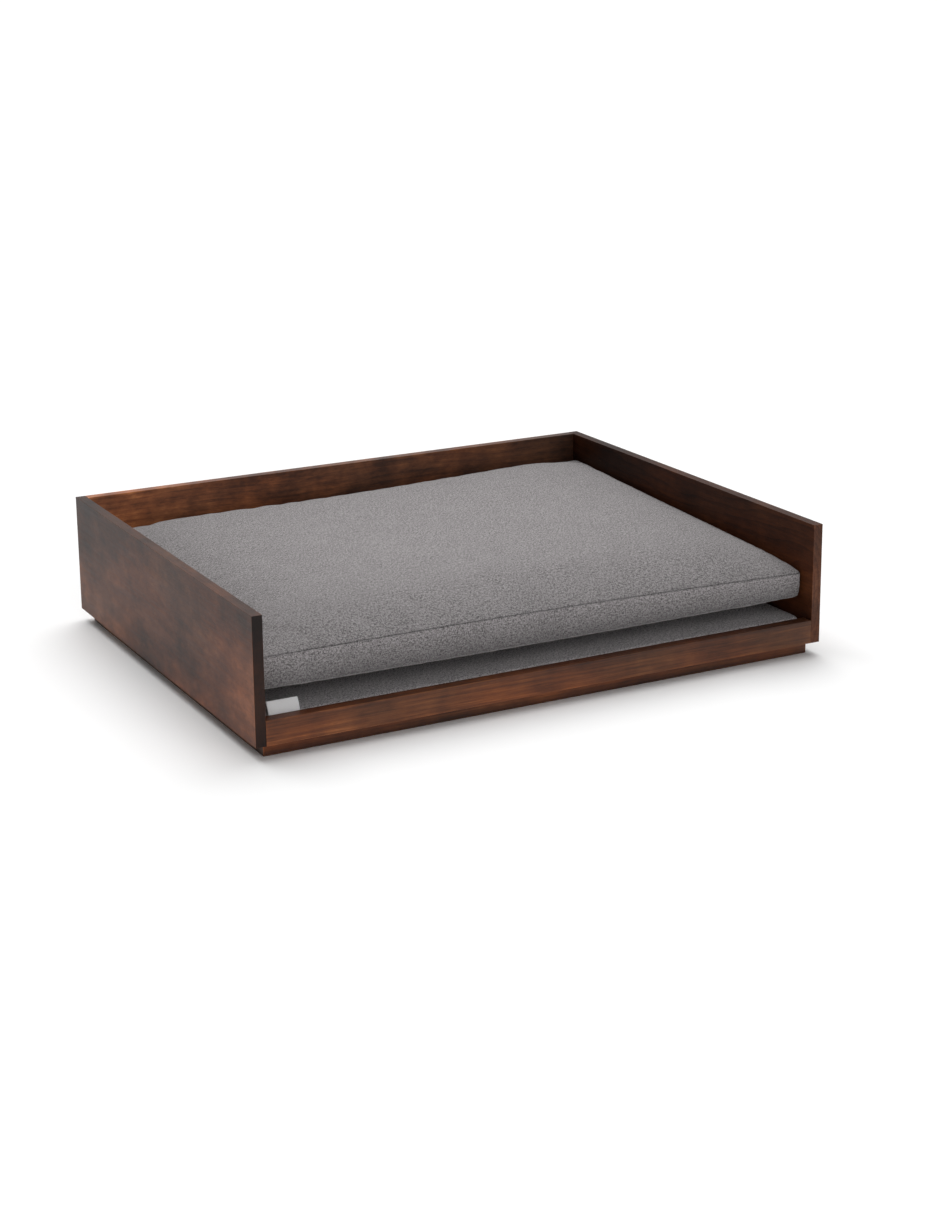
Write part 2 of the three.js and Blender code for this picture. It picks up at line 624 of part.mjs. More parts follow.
function addZip() {
  const tapeFace = CUSHION_BACK - GAP / 2;
  const halfTape = ZIP_TAPE_WIDTH / 2;
  const halfChain = ZIP_CHAIN_WIDTH / 2;
  const section = [
    [tapeFace - FABRIC, -halfTape],
    [tapeFace, -halfTape],
    [tapeFace, -halfChain],
    [tapeFace + ZIP_CHAIN_THICKNESS, -halfChain],
    [tapeFace + ZIP_CHAIN_THICKNESS, halfChain],
    [tapeFace, halfChain],
    [tapeFace, halfTape],
    [tapeFace - FABRIC, halfTape],
  ];
  const tape = extrudedAlongX(section, -ZIP_LENGTH / 2, ZIP_LENGTH / 2).translate(0, 0, ZIP_HEIGHT);
  add('zip_tape', tape, greyTape);

  const stopAt = (ZIP_LENGTH - ZIP_STOP_LENGTH) / 2 - ZIP_STOP_FROM_END;
  const stop = saddle(ZIP_STOP_LENGTH, ZIP_STOP_THICKNESS);
  add('zip_stop_left', stop.clone().translate(-stopAt, 0, 0), steel);
  add('zip_stop_right', stop.clone().translate(stopAt, 0, 0), steel);

  // The slider, at the closed end, with its bridge for a cord or a hook to pull.
  const body = saddle(ZIP_SLIDER_LENGTH, ZIP_SLIDER_THICKNESS);
  const plateFace = tapeFace + ZIP_CHAIN_THICKNESS + GAP + ZIP_SLIDER_THICKNESS;
  const bridgeHalf = ZIP_BRIDGE_LENGTH / 2;
  const windowHalf = bridgeHalf - ZIP_BRIDGE_BAR;
  const bridgeTop = plateFace + ZIP_BRIDGE_RISE;
  const bar = ZIP_BRIDGE_BAR;
  const bridge = cut(block([-bridgeHalf, bridgeHalf], [plateFace - GAP, bridgeTop], [-bar, bar]), [
    block([-windowHalf, windowHalf], [plateFace, bridgeTop - bar], [-2 * bar, 2 * bar]),
  ]).translate(0, 0, ZIP_HEIGHT);
  const closedEnd = stopAt - (ZIP_STOP_LENGTH + ZIP_SLIDER_LENGTH) / 2 - ZIP_SLIDER_TO_STOP;
  add('zip_slider', join(body, bridge).translate(-closedEnd, 0, 0), steel);
}

addTray();
addPlinth();
addFasteners();
addBasePanel();
addTag();
addCushion();
addZip();

export default bed;
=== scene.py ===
"""The looks of the dog bed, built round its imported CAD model. Lengths are in metres, in the model's frame:
+X is the bed's right as seen from the front, +Y is towards the back, +Z is up, and Z 0 is the floor."""

import math

import bpy
import numpy as np
from mathutils import Matrix, Vector


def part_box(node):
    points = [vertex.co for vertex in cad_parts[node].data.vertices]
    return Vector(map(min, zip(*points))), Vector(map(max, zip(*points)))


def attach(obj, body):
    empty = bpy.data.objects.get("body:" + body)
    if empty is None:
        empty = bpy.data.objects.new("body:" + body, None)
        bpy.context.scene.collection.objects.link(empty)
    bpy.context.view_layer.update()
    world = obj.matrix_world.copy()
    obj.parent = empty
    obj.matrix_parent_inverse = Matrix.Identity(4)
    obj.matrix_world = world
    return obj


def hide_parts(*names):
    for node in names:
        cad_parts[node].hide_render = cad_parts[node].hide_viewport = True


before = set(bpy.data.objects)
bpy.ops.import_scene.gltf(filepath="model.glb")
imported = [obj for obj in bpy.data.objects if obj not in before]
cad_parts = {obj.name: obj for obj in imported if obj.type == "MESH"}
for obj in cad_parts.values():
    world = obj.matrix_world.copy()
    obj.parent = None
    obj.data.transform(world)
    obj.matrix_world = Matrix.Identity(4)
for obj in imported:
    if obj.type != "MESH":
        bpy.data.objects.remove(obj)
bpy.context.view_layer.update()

# ---- Places read from the frame ----

TRAY_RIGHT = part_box("right_side_board")[0].x
TRAY_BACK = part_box("back_board")[0].y
PANEL_LOW, PANEL_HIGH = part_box("panel_cover")
CUSHION_LOW, CUSHION_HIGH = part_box("cushion_top_cover")
CUSHION_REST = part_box("cushion_bottom_cover")[0].z
ZIP_LOW, ZIP_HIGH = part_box("zip_tape")
TAG_LOW, TAG_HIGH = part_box("blank_tag")

# ---- The cushion's shape. Seams are given as heights in Z at the four corners. ----

HALF_WIDTH = (CUSHION_HIGH.x - CUSHION_LOW.x) / 2
HALF_DEPTH = (CUSHION_HIGH.y - CUSHION_LOW.y) / 2
MIDDLE_Y = (CUSHION_HIGH.y + CUSHION_LOW.y) / 2
CORNER_RADIUS = 0.005
TOP_SEAM = {"front_left": 0.132, "front_right": 0.120, "back_left": 0.142, "back_right": 0.156}
TOP_SEAM_LEAN = 2.2  # above 1: the front seam changes height mostly towards the right
TOP_SEAM_RISE = 0.55  # below 1: it rises fastest near the front
BOTTOM_SEAM = {"front_left": 0.086, "front_right": 0.083, "back_left": 0.084, "back_right": 0.092}
BOTTOM_SEAM_SAG = 0.003
TOP_CROWN = 0.027
BOTTOM_CROWN = 0.042
TOP_SQUARENESS = 8.0  # the higher, the sooner the surface levels off inside its seam
BOTTOM_SQUARENESS = 2.6
BOXING_BULGE = 0.002
BOTTOM_TUCK = 0.004  # how far the bottom seam lies in from the top one
SIDE_PULL_X = 0.006  # how far the sides are drawn in halfway between the corners
SIDE_PULL_Y = 0.003  # and the front and the back
CLOTH_STEP = 0.0085  # between points of the cover
SEAM_WIDTH = 0.0024

# ---- The photograph's view ----

CAMERA_AT = (-1.4932, -2.9088, 1.0706)
CAMERA_AZIMUTH = -0.47525
CAMERA_ELEVATION = 0.25633
CAMERA_ROLL = -0.012193
LENS_MM = 66.77
SHIFT = (0.0247, -0.0885)


# ---- Node trees ----


class Shading:
    """A material's node tree, with a short call for each kind of node used below."""

    def __init__(self, name):
        self.material = bpy.data.materials.new(name)
        self.material.use_nodes = True
        self.tree = self.material.node_tree
        self.shader = self.tree.nodes["Principled BSDF"]
        self.coordinates = self.add("TexCoord")

    def add(self, kind, inputs=(), **settings):
        node = self.tree.nodes.new("ShaderNode" + kind)
        for key, value in settings.items():
            setattr(node, key, value)
        for key, value in dict(inputs).items():
            self.put(node.inputs[key], value)
        return node

    def put(self, socket, value):
        if isinstance(value, bpy.types.NodeSocket):
            self.tree.links.new(value, socket)
        else:
            socket.default_value = value

    def place(self):
        return self.coordinates.outputs["Object"]

    def normal(self):
        return self.coordinates.outputs["Normal"]

    def math(self, operation, *values):
        node = self.add("Math", operation=operation)
        for socket, value in zip(node.inputs, values):
            self.put(socket, value)
        return node.outputs[0]

    def vector(self, operation, *values):
        node = self.add("VectorMath", operation=operation)
        for socket, value in zip(node.inputs, values):
            self.put(socket, value)
        return node.outputs[0]

    def split(self, vector):
        return self.add("SeparateXYZ", {"Vector": vector}).outputs

    def join(self, x, y, z):
        return self.add("CombineXYZ", {"X": x, "Y": y, "Z": z}).outputs[0]

    def noise(self, place, stretch, detail=2.0, roughness=0.5):
        """Noise with its own number of cells per metre along each axis."""
        scaled = self.vector("MULTIPLY", place, stretch)
        inputs = {"Vector": scaled, "Scale": 1.0, "Detail": detail, "Roughness": roughness}
        return self.add("TexNoise", inputs).outputs["Fac"]

    def rescale(self, value, low, high, to_low=0.0, to_high=1.0):
        node = self.add("MapRange", {"Value": value})
        for key, number in zip(("From Min", "From Max", "To Min", "To Max"), (low, high, to_low, to_high)):
            node.inputs[key].default_value = number
        return node.outputs[0]

    def choose(self, factor, a, b):
        """a where factor is 0 and b where it is 1, as numbers."""
        node = self.add("Mix", data_type="FLOAT")
        for socket, value in zip((node.inputs[0], node.inputs[2], node.inputs[3]), (factor, a, b)):
            self.put(socket, value)
        return node.outputs[0]

    def blend(self, factor, a, b, mode="MIX"):
        """Colour a where factor is 0 and b where it is 1."""
        node = self.add("Mix", data_type="RGBA", blend_type=mode)
        for socket, value in zip((node.inputs[0], node.inputs[6], node.inputs[7]), (factor, a, b)):
            self.put(socket, value)
        return node.outputs[2]

    def ramp(self, factor, stops):
        node = self.add("ValToRGB", {"Fac": factor})
        elements = node.color_ramp.elements
        while len(elements) < len(stops):
            elements.new(0.5)
        for element, (position, colour) in zip(elements, stops):
            element.position = position
            element.color = (*colour, 1.0)
        return node.outputs[0]

    def finish(self, colour, roughness, height, depth):
        """Connects the surface: height is from 0 to 1, and depth is what 1 stands for, in metres."""
        bump = self.add("Bump", {"Height": height, "Distance": depth, "Strength": 1.0})
        self.put(self.shader.inputs["Base Color"], colour)
        self.put(self.shader.inputs["Roughness"], roughness)
        self.put(self.shader.inputs["Normal"], bump.outputs[0])
        return self.material


# ---- Materials ----

WALNUT_STOPS = [
    (0.08, (0.026, 0.0110, 0.0064)),
    (0.38, (0.062, 0.0255, 0.0130)),
    (0.62, (0.098, 0.0420, 0.0205)),
    (0.92, (0.170, 0.0780, 0.0370)),
]
RING_SPACING = 0.0085
PITH_ASIDE = 0.11
PITH_ABOVE = 0.03
GRAIN_WANDER = 0.030
LATEWOOD_DARK = 0.26
PORE_DARK = 0.16
COOL_STAIN = (0.92, 1.0, 1.10)
WARM_STAIN = (1.12, 0.98, 0.84)
EDGE_WEAR_AND_HIGHLIGHT_WIDTH = 0.0018
PORE_DEPTH = 0.00012


def edge_distance(shading, low, high):
    """How far a point on a box's surface is from the nearest edge of the box."""
    gaps = []
    for axis, coordinate in enumerate(shading.split(shading.place())):
        from_low = shading.math("SUBTRACT", coordinate, low[axis])
        from_high = shading.math("SUBTRACT", high[axis], coordinate)
        gaps.append(shading.math("MINIMUM", from_low, from_high))
    smaller = shading.math("MINIMUM", gaps[0], gaps[1])
    larger = shading.math("MAXIMUM", gaps[0], gaps[1])
    return shading.math("MAXIMUM", smaller, shading.math("MINIMUM", larger, gaps[2]))


def add_tones(shading, tone, parts):
    """Adds noises to a tone, each up to its own amount darker or lighter."""
    for noise, amount in parts:
        tone = shading.math("ADD", tone, shading.rescale(noise, 0.25, 0.75, -amount, amount))
    return tone


def year_rings(shading, across, z, wander, middle, seed):
    """0 to 1 across each year's wood, as a board cut beside the pith shows it."""
    beside = shading.math("ADD", shading.math("SUBTRACT", across, middle[0]), PITH_ASIDE)
    above = shading.math("SUBTRACT", z, middle[1])
    above = shading.math("ADD", above, PITH_ABOVE + 0.02 * math.sin(seed * 2.3))
    squares = shading.math("ADD", shading.math("POWER", beside, 2.0), shading.math("POWER", above, 2.0))
    wavy = shading.math("ADD", shading.math("SQRT", squares),
                        shading.rescale(wander, 0.0, 1.0, -GRAIN_WANDER, GRAIN_WANDER))
    return shading.math("FRACT", shading.math("DIVIDE", wavy, RING_SPACING))


def stained_walnut(node, along, seed, tint_and_painted_light=(1.0, 1.0, 1.0), figure=0.5, streaks=1.0, blotches=0.5,
                   end_tint=(0.55, 0.55, 0.55), outside_tint=None, gloss=0.3, wear_and_highlight=0.2, fades=()):
    """Stained wood for one board, its grain along "X" or "Y", cut from a log whose pith lies beside it.

    The tint multiplies the wood's colour; the back board's tint is painted light that brightens its inner
    face, which lies in shade.
    The fades multiply the colour from the board's low end to its high end along some axes: on the plinth's
    front batten they paint light along its top and shade below, and on the other boards the face grows
    darker towards one end.
    A board with an outside_tint has it on the face that looks away from the bed's middle, and no fades
    there.
    The edge lightening is wear, and on the plinth's front batten also a painted highlight along its edges.
    """
    shading = Shading("stained_walnut_" + node)
    low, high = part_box(node)
    middle = (low + high) / 2
    x, y, z = place = shading.split(shading.place())
    lengthways, across = (x, y) if along == "X" else (y, x)
    grain = shading.vector("ADD", shading.join(lengthways, across, z), (seed * 3.1, seed * 1.7, seed * 0.9))

    wander = shading.noise(grain, (2.2, 7.0, 7.0), 3.0)
    ring = year_rings(shading, across, z, wander, (middle.y if along == "X" else middle.x, middle.z), seed)
    latewood = shading.math("POWER", ring, 3.0)

    streaky = shading.noise(grain, (6.0, 240.0, 240.0), 4.0, 0.65)
    fibres = shading.noise(grain, (16.0, 700.0, 700.0), 3.0, 0.6)
    cloud = shading.noise(grain, (4.5, 8.0, 8.0), 2.0, 0.5)
    patches = shading.noise(grain, (11.0, 20.0, 20.0), 5.0, 0.65)
    mottling = shading.noise(grain, (36.0, 70.0, 70.0), 4.0, 0.7)
    bands = shading.noise(grain, (24.0, 5.0, 5.0), 2.0, 0.5)
    pores = shading.rescale(shading.noise(grain, (55.0, 1100.0, 1100.0), 1.0), 0.60, 0.72)

    tone = add_tones(shading, 0.5, [
        (cloud, 0.36 * blotches),
        (patches, 0.30 * blotches),
        (mottling, 0.22 * blotches),
        (bands, 0.12),
        (streaky, 0.24 * streaks),
        (fibres, 0.10 * streaks),
    ])
    tone = shading.math("SUBTRACT", tone, shading.math("MULTIPLY", latewood, LATEWOOD_DARK * figure))
    tone = shading.math("SUBTRACT", tone, shading.math("MULTIPLY", pores, PORE_DARK))

    # Lightens the board near its edges: wear, and where the amount is high, as on the plinth's front batten,
    # a painted highlight.
    worn_and_lit_edge = shading.rescale(edge_distance(shading, low, high), 0.0, EDGE_WEAR_AND_HIGHLIGHT_WIDTH, 1.0, 0.0)
    patchy = shading.rescale(shading.noise(grain, (30.0, 60.0, 60.0), 2.0), 0.3, 0.55)
    tone = shading.math("ADD", tone, shading.math("MULTIPLY", shading.math("MULTIPLY", worn_and_lit_edge, patchy), wear_and_highlight))
    colour = shading.ramp(tone, WALNUT_STOPS)

    warmth = shading.rescale(shading.noise(grain, (5.0, 10.0, 10.0), 3.0), 0.35, 0.65)
    hue = shading.blend(warmth, (*COOL_STAIN, 1.0), (*WARM_STAIN, 1.0))
    colour = shading.blend(1.0, colour, hue, "MULTIPLY")
    facing = shading.split(shading.normal())
    end_grain = shading.rescale(shading.math("ABSOLUTE", facing["XYZ".index(along)]), 0.7, 0.95)
    thin = min(range(3), key=lambda k: (high - low)[k])
    outwards = shading.math("MULTIPLY", facing[thin], math.copysign(1.0, middle[thin]))
    outside = shading.rescale(outwards, 0.7, 0.95) if outside_tint else 0.0
    # The back board's tint is painted light, brightening all but its outer face, which takes its
    # outside_tint instead.
    face_tint_and_painted_light = shading.blend(outside, (*tint_and_painted_light, 1.0), (*(outside_tint or tint_and_painted_light), 1.0))
    colour = shading.blend(1.0, colour, shading.blend(end_grain, face_tint_and_painted_light, (*end_tint, 1.0)), "MULTIPLY")
    for name, (at_low, at_high) in fades:
        k = "XYZ".index(name)
        shade = shading.choose(outside, shading.rescale(place[k], low[k], high[k], at_low, at_high), 1.0)
        colour = shading.blend(1.0, colour, shading.join(shade, shade, shade), "MULTIPLY")
    roughness = shading.rescale(streaky, 0.2, 0.8, 0.42, 0.54)
    height = shading.math("SUBTRACT", shading.math("MULTIPLY", fibres, 0.6), pores)
    shading.shader.inputs["Specular IOR Level"].default_value = gloss
    return shading.finish(colour, roughness, height, PORE_DEPTH)


BIRCH_STOPS = [(0.1, (0.16, 0.085, 0.035)), (0.5, (0.46, 0.29, 0.135)), (0.9, (0.60, 0.42, 0.22))]
PLY_THICKNESS = 0.0015


def plywood():
    """Birch plywood: pale fibres on its faces and its plies in bands on its edges."""
    shading = Shading("plywood")
    x, y, z = shading.split(shading.place())
    fibres = shading.noise(shading.place(), (9.0, 260.0, 260.0), 4.0, 0.6)
    figure = shading.noise(shading.place(), (2.5, 16.0, 16.0), 3.0)
    ply = shading.math("PINGPONG", z, PLY_THICKNESS)
    edge = shading.math("SUBTRACT", 1.0, shading.math("ABSOLUTE", shading.split(shading.normal())[2]))
    bands = shading.math("MULTIPLY", shading.rescale(ply, 0.0, PLY_THICKNESS),
                         shading.rescale(edge, 0.6, 0.9))
    tone = shading.math("ADD", shading.math("MULTIPLY", fibres, 0.5), shading.math("MULTIPLY", figure, 0.5))
    tone = shading.math("SUBTRACT", tone, shading.math("MULTIPLY", bands, 0.35))
    colour = shading.ramp(tone, BIRCH_STOPS)
    return shading.finish(colour, shading.rescale(fibres, 0.2, 0.8, 0.6, 0.8), fibres, 0.0001)


def beech():
    """Pale turned beech with short dark flecks."""
    shading = Shading("beech")
    fibres = shading.noise(shading.place(), (260.0, 260.0, 260.0), 3.0)
    flecks = shading.rescale(shading.noise(shading.place(), (900.0, 350.0, 900.0), 1.0), 0.6, 0.7)
    tone = shading.math("SUBTRACT", fibres, shading.math("MULTIPLY", flecks, 0.3))
    colour = shading.ramp(tone, [(0.1, (0.30, 0.17, 0.08)), (0.7, (0.62, 0.42, 0.23))])
    return shading.finish(colour, shading.rescale(fibres, 0.3, 0.7, 0.5, 0.7), fibres, 0.0001)


def zinc():
    """Zinc-plated steel, faintly yellow in places, with fine scratches."""
    shading = Shading("zinc")
    cloud = shading.noise(shading.place(), (320.0, 320.0, 320.0), 3.0)
    scratches = shading.noise(shading.place(), (300.0, 5000.0, 2500.0), 2.0)
    colour = shading.ramp(cloud, [(0.3, (0.50, 0.49, 0.45)), (0.7, (0.66, 0.67, 0.68))])
    shading.shader.inputs["Metallic"].default_value = 1.0
    return shading.finish(colour, shading.rescale(scratches, 0.3, 0.7, 0.22, 0.42), scratches, 0.00002)


LINEN_DARK = (0.096, 0.088, 0.089)
LINEN_MIDDLE = (0.300, 0.279, 0.281)
LINEN_LIGHT = (0.540, 0.508, 0.512)
LINEN_CONTRAST = 1.3
THREAD_PITCH = 0.00085
CROSSHATCH = 0.34
FLECK_DARK = 0.34
HOLLOW_PAINTED_SHADE = 0.25
YARN_DEPTH = 0.00022
# Painted shade in the crease of the cushion's top seam.
SEAM_PAINTED_SHADE = 0.42
# Painted shade on the cushion's cloth: the first number over its top and where the boxing meets the top
# seam, the second where the boxing meets the bottom seam.
BOXING_PAINTED_SHADES = (0.86, 0.36)
# Painted shade round the rim of the cushion's top, where it rolls over towards its seams.
RIM_PAINTED_SHADE = 0.70
# Painted light: the panel's cloth is made lighter than the cushion's, to light its strip that lies in shade
# under the cushion.
PANEL_PAINTED_LIGHT = (1.22, 1.23, 1.24)
# Painted shade: the zip facing's linen is darkened to match the painted shade of the boxing.
FACING_PAINTED_SHADE = (0.72, 0.72, 0.72)


def thread_places(shading):
    """The place on the cloth along the warp and the weft, on a surface facing mostly along one axis."""
    x, y, z = shading.split(shading.place())
    facing = [shading.math("ABSOLUTE", part) for part in shading.split(shading.normal())]
    sideways = shading.math("GREATER_THAN", facing[0], shading.math("MAXIMUM", facing[1], facing[2]))
    upright = shading.math("MAXIMUM", sideways, shading.math("GREATER_THAN", facing[1], facing[2]))
    return shading.choose(sideways, x, y), shading.choose(upright, y, z)


def painted_cushion_shade(shading, colour):
    """Paints shade into the cloth's colour as marked on the cushion: in the crease of its top seam, round
    the rim of its top where the cloth rolls over, and down the boxing towards the bottom seam.
    """
    marks = {name: shading.add("Attribute", attribute_name=name).outputs["Fac"]
             for name in ("seam", "boxing", "rim")}
    shade = shading.math("MULTIPLY", shading.rescale(marks["seam"], 0.45, 1.0, 1.0, SEAM_PAINTED_SHADE),
                         shading.rescale(marks["boxing"], 0.0, 1.0, *BOXING_PAINTED_SHADES))
    shade = shading.math("MULTIPLY", shade, shading.rescale(marks["rim"], 0.0, 1.0, 1.0, RIM_PAINTED_SHADE))
    return shading.blend(1.0, colour, shading.join(shade, shade, shade), "MULTIPLY")


def woven_cloth(name, stops, pitch=THREAD_PITCH, contrast=1.0, tint_and_painted_light=(1.0, 1.0, 1.0), with_painted_shade=False):
    """A plain weave of uneven melange yarn, each yarn with its own tone and thick and thin stretches."""
    shading = Shading(name)
    warp, weft = thread_places(shading)
    drift = shading.noise(shading.place(), (28.0, 28.0, 28.0), 2.0)
    warp = shading.math("ADD", warp, shading.rescale(drift, 0.0, 1.0, -2 * pitch, 2 * pitch))
    weft = shading.math("ADD", weft, shading.rescale(drift, 0.0, 1.0, 3 * pitch, -3 * pitch))
    cloth = shading.join(warp, weft, 0.0)
    thread = 1.0 / pitch

    along_warp = shading.noise(cloth, (240.0, 0.6 * thread, 1.0), 2.0, 0.6)
    along_weft = shading.noise(cloth, (0.6 * thread, 260.0, 4.0), 2.0, 0.6)
    flecks_warp = shading.rescale(shading.noise(cloth, (220.0, 0.6 * thread, 7.0), 1.0), 0.60, 0.68)
    flecks_weft = shading.rescale(shading.noise(cloth, (0.6 * thread, 220.0, 9.0), 1.0), 0.60, 0.68)
    slubs = shading.noise(cloth, (45.0, 0.5 * thread, 11.0), 2.0)
    melange = shading.noise(cloth, (0.8 * thread, 0.8 * thread, 11.0), 1.0)
    cloud = shading.noise(shading.place(), (14.0, 22.0, 22.0), 3.0)

    checks = shading.add("TexChecker", {"Vector": cloth, "Scale": thread}).outputs["Fac"]
    yarn = shading.choose(checks, along_warp, along_weft)
    crosshatch = shading.math("MINIMUM", along_warp, along_weft)
    dark_crossings = shading.rescale(crosshatch, 0.2, 0.6, -CROSSHATCH * contrast, CROSSHATCH * contrast)
    tone = shading.math("ADD", 0.5, dark_crossings)
    for noise, amount in ((yarn, 0.24), (melange, 0.30), (slubs, 0.10)):
        amount *= contrast
        tone = shading.math("ADD", tone, shading.rescale(noise, 0.3, 0.7, -amount, amount))
    flecks = shading.math("MAXIMUM", flecks_warp, flecks_weft)
    tone = shading.math("SUBTRACT", tone, shading.math("MULTIPLY", flecks, FLECK_DARK * contrast))
    tone = shading.math("ADD", tone, shading.rescale(cloud, 0.3, 0.7, -0.03, 0.03))
    # The tint is painted light on the panel's linen and painted shade on the zip facing's linen.
    colour = shading.blend(1.0, shading.ramp(tone, stops), (*tint_and_painted_light, 1.0), "MULTIPLY")

    across_warp, across_weft = (
        shading.math("ABSOLUTE", shading.math("SINE", shading.math("MULTIPLY", part, math.pi * thread)))
        for part in (weft, warp)
    )
    crossing = shading.choose(checks, across_warp, across_weft)
    # Painted shade in the hollows between the crossing threads.
    hollow_shade = shading.rescale(crossing, 0.0, 0.6, 1.0 - HOLLOW_PAINTED_SHADE * contrast, 1.0)
    colour = shading.blend(1.0, colour, shading.join(hollow_shade, hollow_shade, hollow_shade), "MULTIPLY")
    # Painted shade from the cushion's marks, for the cushion's own cover.
    if with_painted_shade:
        colour = painted_cushion_shade(shading, colour)
    height = shading.math("ADD", crossing, shading.math("MULTIPLY", yarn, 0.8))
    shading.shader.inputs["Sheen Weight"].default_value = 0.18
    shading.shader.inputs["Sheen Roughness"].default_value = 0.5
    shading.shader.inputs["Specular IOR Level"].default_value = 0.2
    return shading.finish(colour, shading.rescale(yarn, 0.3, 0.7, 0.82, 0.96), height, YARN_DEPTH)


def grey_linen(name="grey_linen", tint_and_painted_light=(1.0, 1.0, 1.0), with_painted_shade=False):
    """The cover cloth of the cushion and the panel. The tint is painted light on the panel's cloth and
    painted shade on the zip facing's. One with painted shade reads the marks on the cushion and paints shade
    in its top seam, round the rim of its top and down its boxing.
    """
    stops = [(0.08, LINEN_DARK), (0.5, LINEN_MIDDLE), (0.92, LINEN_LIGHT)]
    return woven_cloth(name, stops, contrast=LINEN_CONTRAST, tint_and_painted_light=tint_and_painted_light, with_painted_shade=with_painted_shade)


def white_ribbon():
    """Close, smooth white tape for the tag."""
    stops = [(0.1, (0.90, 0.90, 0.91)), (0.5, (0.95, 0.95, 0.955)), (0.9, (0.97, 0.97, 0.97))]
    return woven_cloth("white_ribbon", stops, pitch=0.0004, contrast=0.35)


def zip_ribbon():
    """The zip's dark tape."""
    stops = [(0.1, (0.045, 0.042, 0.040)), (0.5, (0.085, 0.081, 0.078)), (0.9, (0.14, 0.135, 0.13))]
    return woven_cloth("zip_ribbon", stops, pitch=0.0005, contrast=0.5)


def nylon():
    """The zip's moulded coil: dark satin nylon, slightly uneven in tone."""
    shading = Shading("nylon")
    cloud = shading.noise(shading.place(), (700.0, 700.0, 700.0), 2.0)
    colour = shading.ramp(cloud, [(0.3, (0.045, 0.043, 0.042)), (0.7, (0.085, 0.082, 0.080))])
    return shading.finish(colour, shading.rescale(cloud, 0.3, 0.7, 0.35, 0.5), cloud, 0.00003)


# ---- Mesh helpers ----


def mesh_piece(name, vertices, faces, material, smooth=True):
    mesh = bpy.data.meshes.new(name)
    mesh.from_pydata([tuple(v) for v in vertices], [], faces)
    mesh.validate()
    mesh.polygons.foreach_set("use_smooth", [smooth] * len(mesh.polygons))
    piece = bpy.data.objects.new(name, mesh)
    bpy.context.scene.collection.objects.link(piece)
    mesh.materials.append(material)
    return piece


def lerp(a, b, share):
    return a + (b - a) * share


def smoothstep(share):
    share = np.clip(share, 0.0, 1.0)
    return share * share * (3 - 2 * share)


# ---- The wooden tray and plinth ----

EASED_EDGE = 0.0012
ZIP_EASED_EDGE = 0.0002


def ease_edges(node, width=EASED_EDGE):
    """Rounds a CAD board's edges for the eye, leaving its own mesh as it is."""
    weld = node.modifiers.new("weld", "WELD")
    weld.merge_threshold = 1e-5
    flat = node.modifiers.new("flat_faces", "DECIMATE")
    flat.decimate_type = "DISSOLVE"
    flat.angle_limit = math.radians(1.0)
    bevel = node.modifiers.new("eased_edges", "BEVEL")
    bevel.width = width
    bevel.segments = 3
    bevel.limit_method = "ANGLE"
    bevel.angle_limit = math.radians(50)
    bevel.harden_normals = True


def paint(node, material):
    node.data.materials.clear()
    node.data.materials.append(material)


BOARD_LOOKS = {
    "left_side_board": dict(
        along="Y", seed=1, tint_and_painted_light=(1.09, 0.85, 0.76), figure=0.15, streaks=0.45, blotches=1.0,
        end_tint=(0.13, 0.08, 0.05), gloss=0.22, fades=[("Y", (1.0, 0.68)), ("Z", (1.4, 0.85))],
    ),
    "right_side_board": dict(
        along="Y", seed=2, tint_and_painted_light=(0.74, 0.52, 0.38), figure=0.8, streaks=0.7, blotches=0.6,
        end_tint=(0.88, 0.76, 0.76), gloss=0.15, fades=[("Y", (1.1, 0.5))],
    ),
    # Painted light: the back board's strong tint brightens its inner face, which lies in shade; the
    # outside_tint keeps its outer face free of it.
    "back_board": dict(
        along="X", seed=3, tint_and_painted_light=(3.1, 2.6, 2.1), figure=0.6, streaks=0.6, blotches=1.0,
        outside_tint=(1.15, 0.95, 0.85), fades=[("X", (0.95, 0.25)), ("Z", (0.9, 1.1))],
    ),
    "front_rail": dict(
        along="X", seed=4, tint_and_painted_light=(1.60, 1.18, 0.74), figure=0.25, streaks=1.4, blotches=0.45,
        fades=[("X", (1.12, 0.65)), ("Z", (1.3, 0.6))],
    ),
    # Painted light and shade on the plinth's front batten: its fade lightens the top and darkens the face
    # below, and its high wear adds a painted highlight along its edges.
    "plinth_front_batten": dict(
        along="X", seed=5, tint_and_painted_light=(1.10, 0.76, 0.46), figure=0.25, streaks=1.1, blotches=0.5,
        wear_and_highlight=0.9, fades=[("Z", (0.35, 1.9))],
    ),
    "plinth_back_batten": dict(along="X", seed=6),
    "plinth_left_batten": dict(along="Y", seed=7),
    "plinth_right_batten": dict(along="Y", seed=8),
    "cross_batten_left": dict(along="Y", seed=9),
    "cross_batten_right": dict(along="Y", seed=10),
}


def dress_frame():
    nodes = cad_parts
    for name, look in BOARD_LOOKS.items():
        paint(nodes[name], stained_walnut(name, **look))
        ease_edges(nodes[name])
    birch = plywood()
    for name in ("deck_board", "panel_board"):
        paint(nodes[name], birch)
    pale, bright = beech(), zinc()
    for name, node in nodes.items():
        if "dowel" in name:
            paint(node, pale)
        if name.startswith("screw"):
            paint(node, bright)
        if name.startswith("zip_stop") or name == "zip_slider":
            paint(node, bright)
            ease_edges(node, ZIP_EASED_EDGE)


# ---- The cushion ----


def shares(x, y):
    """The share of the way across, from 0 at the left to 1 at the right, and the same from front to back."""
    u = np.clip((x / HALF_WIDTH + 1) / 2, 0, 1)
    v = np.clip(((y - MIDDLE_Y) / HALF_DEPTH + 1) / 2, 0, 1)
    return u, v


def dome(x, y, squareness):
    """0 at the seams and 1 in the middle. The squarer it is, the sooner it levels off."""
    u, v = (np.abs(2 * share - 1) for share in shares(x, y))
    return (1 - u**squareness) * (1 - v**squareness)


